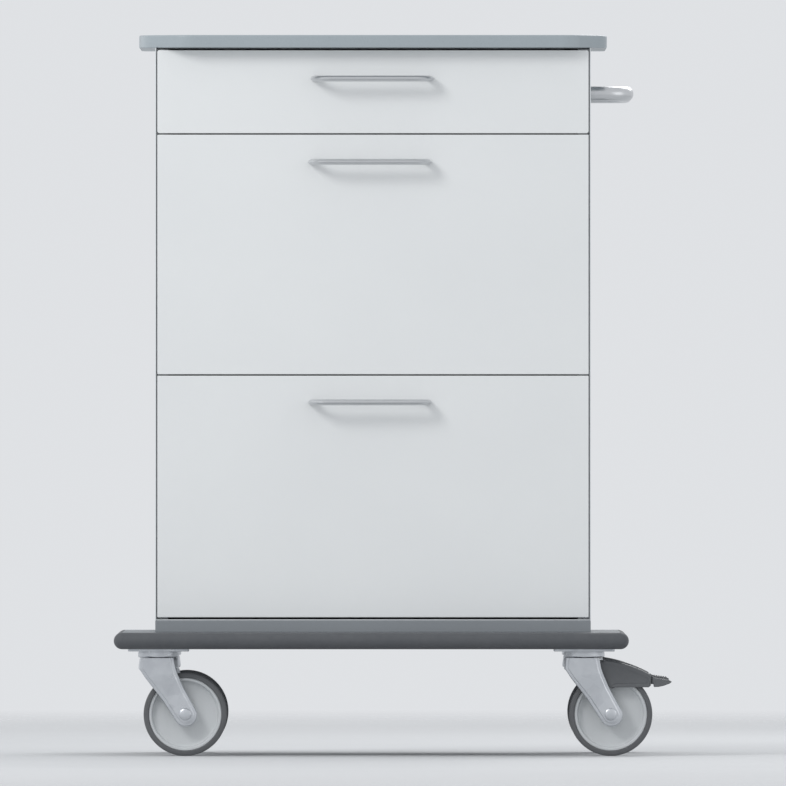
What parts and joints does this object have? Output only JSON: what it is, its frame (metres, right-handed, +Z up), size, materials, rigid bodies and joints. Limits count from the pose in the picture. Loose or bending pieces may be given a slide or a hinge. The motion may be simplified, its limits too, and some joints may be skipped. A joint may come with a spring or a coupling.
{
  "type": "instrument cart",
  "caption": "Wheeled clinic cabinet with stacked drawers, bow pulls, shaped worktop, side push handle, bumpered base and braked swivel casters.",
  "frame": {"origin": "on the floor, under the middle of the whole cart's box", "axes": "+Z up, -Y is the drawer side (front), +X towards the push handle"},
  "size_m": [0.8374, 0.62, 1.0825],
  "materials": {
    "cabinet_paint": "white powder coat, fine orange-peel, satin",
    "drawer_front": "white moulded panel, satin",
    "drawer_steel": "light grey powder coat",
    "worktop_laminate": "pale grey solid worktop, fine speckle, satin",
    "base_moulding": "mid grey moulded plastic, fine texture",
    "bumper": "dark grey rubber bumper, matt",
    "stainless": "satin stainless steel, brushed along its length",
    "zinc": "bright zinc-plated pressed steel",
    "galvanised": "galvanised sheet steel",
    "pedal_steel": "dark grey coated pressed steel",
    "wheel_core": "light grey moulded wheel centre",
    "tyre": "grey non-marking rubber tread"
  },
  "bodies": {
    "cart": {"base_deck": "base_moulding", "base_bumper": "bumper", "plinth": "base_moulding", "bottom_panel": "cabinet_paint", "side_left": "cabinet_paint", "side_right": "cabinet_paint", "back_panel": "cabinet_paint", "uprights_left": "galvanised", "uprights_right": "galvanised", "top_panel": "cabinet_paint", "worktop": "worktop_laminate", "push_handle": "stainless", "push_handle_nuts": "zinc", "caster_bolts": "zinc", "lower_drawer_slide_outer": "zinc", "middle_drawer_slide_outer": "zinc", "upper_drawer_slide_outer": "zinc", "front_left_plate": "zinc", "front_left_kingpin": "zinc", "front_right_plate": "zinc", "front_right_kingpin": "zinc", "rear_left_plate": "zinc", "rear_left_kingpin": "zinc", "rear_right_plate": "zinc", "rear_right_kingpin": "zinc"},
    "lower_drawer": {"lower_drawer_front": "drawer_front", "lower_drawer_box": "drawer_steel", "lower_drawer_handle": "stainless", "lower_drawer_slide_inner": "zinc"},
    "lower_drawer_slide_pair": {"lower_drawer_slide_middle": "zinc"},
    "middle_drawer": {"middle_drawer_front": "drawer_front", "middle_drawer_box": "drawer_steel", "middle_drawer_handle": "stainless", "middle_drawer_slide_inner": "zinc"},
    "middle_drawer_slide_pair": {"middle_drawer_slide_middle": "zinc"},
    "upper_drawer": {"upper_drawer_front": "drawer_front", "upper_drawer_box": "drawer_steel", "upper_drawer_handle": "stainless", "upper_drawer_slide_inner": "zinc"},
    "upper_drawer_slide_pair": {"upper_drawer_slide_middle": "zinc"},
    "front_left_swivel": {"front_left_fork": "zinc", "front_left_axle": "zinc"},
    "front_left_roller": {"front_left_wheel": "wheel_core", "front_left_tyre": "tyre"},
    "front_right_swivel": {"front_right_fork": "zinc", "front_right_axle": "zinc", "front_right_brake_pin": "zinc"},
    "front_right_roller": {"front_right_wheel": "wheel_core", "front_right_tyre": "tyre"},
    "front_right_brake": {"front_right_brake_pedal": "pedal_steel"},
    "rear_left_swivel": {"rear_left_fork": "zinc", "rear_left_axle": "zinc"},
    "rear_left_roller": {"rear_left_wheel": "wheel_core", "rear_left_tyre": "tyre"},
    "rear_right_swivel": {"rear_right_fork": "zinc", "rear_right_axle": "zinc", "rear_right_brake_pin": "zinc"},
    "rear_right_roller": {"rear_right_wheel": "wheel_core", "rear_right_tyre": "tyre"},
    "rear_right_brake": {"rear_right_brake_pedal": "pedal_steel"}
  },
  "joints": [
    {"name": "lower_drawer_travel", "type": "slide", "parent": "cart", "child": "lower_drawer", "axis": [0, -1, 0], "range_m": [0, 0.43]},
    {"name": "lower_drawer_slide_extension", "type": "slide", "parent": "cart", "child": "lower_drawer_slide_pair", "axis": [0, -1, 0], "range_m": [0, 0.215]},
    {"name": "middle_drawer_travel", "type": "slide", "parent": "cart", "child": "middle_drawer", "axis": [0, -1, 0], "range_m": [0, 0.43]},
    {"name": "middle_drawer_slide_extension", "type": "slide", "parent": "cart", "child": "middle_drawer_slide_pair", "axis": [0, -1, 0], "range_m": [0, 0.215]},
    {"name": "upper_drawer_travel", "type": "slide", "parent": "cart", "child": "upper_drawer", "axis": [0, -1, 0], "range_m": [0, 0.43]},
    {"name": "upper_drawer_slide_extension", "type": "slide", "parent": "cart", "child": "upper_drawer_slide_pair", "axis": [0, -1, 0], "range_m": [0, 0.215]},
    {"name": "front_left_swivel_turn", "type": "hinge", "parent": "cart", "child": "front_left_swivel", "pos_m": [-0.35175, -0.243, 0.147], "axis": [0, 0, 1], "continuous": true},
    {"name": "front_left_wheel_spin", "type": "hinge", "parent": "front_left_swivel", "child": "front_left_roller", "pos_m": [-0.31175, -0.243, 0.0625], "axis": [0, 1, 0], "continuous": true},
    {"name": "front_right_swivel_turn", "type": "hinge", "parent": "cart", "child": "front_right_swivel", "pos_m": [0.28725, -0.243, 0.147], "axis": [0, 0, 1], "continuous": true},
    {"name": "front_right_wheel_spin", "type": "hinge", "parent": "front_right_swivel", "child": "front_right_roller", "pos_m": [0.32725, -0.243, 0.0625], "axis": [0, 1, 0], "continuous": true},
    {"name": "front_right_brake_press", "type": "hinge", "parent": "front_right_swivel", "child": "front_right_brake", "pos_m": [0.30725, -0.243, 0.1335], "axis": [0, 1, 0], "range_deg": [0, 9]},
    {"name": "rear_left_swivel_turn", "type": "hinge", "parent": "cart", "child": "rear_left_swivel", "pos_m": [-0.35175, 0.243, 0.147], "axis": [0, 0, 1], "continuous": true},
    {"name": "rear_left_wheel_spin", "type": "hinge", "parent": "rear_left_swivel", "child": "rear_left_roller", "pos_m": [-0.31175, 0.243, 0.0625], "axis": [0, 1, 0], "continuous": true},
    {"name": "rear_right_swivel_turn", "type": "hinge", "parent": "cart", "child": "rear_right_swivel", "pos_m": [0.28725, 0.243, 0.147], "axis": [0, 0, 1], "continuous": true},
    {"name": "rear_right_wheel_spin", "type": "hinge", "parent": "rear_right_swivel", "child": "rear_right_roller", "pos_m": [0.32725, 0.243, 0.0625], "axis": [0, 1, 0], "continuous": true},
    {"name": "rear_right_brake_press", "type": "hinge", "parent": "rear_right_swivel", "child": "rear_right_brake", "pos_m": [0.30725, 0.243, 0.1335], "axis": [0, 1, 0], "range_deg": [0, 9]}
  ],
  "couplings": [
    {"joint": "lower_drawer_slide_extension", "follows": "lower_drawer_travel", "ratio": 0.5},
    {"joint": "middle_drawer_slide_extension", "follows": "middle_drawer_travel", "ratio": 0.5},
    {"joint": "upper_drawer_slide_extension", "follows": "upper_drawer_travel", "ratio": 0.5}
  ]
}
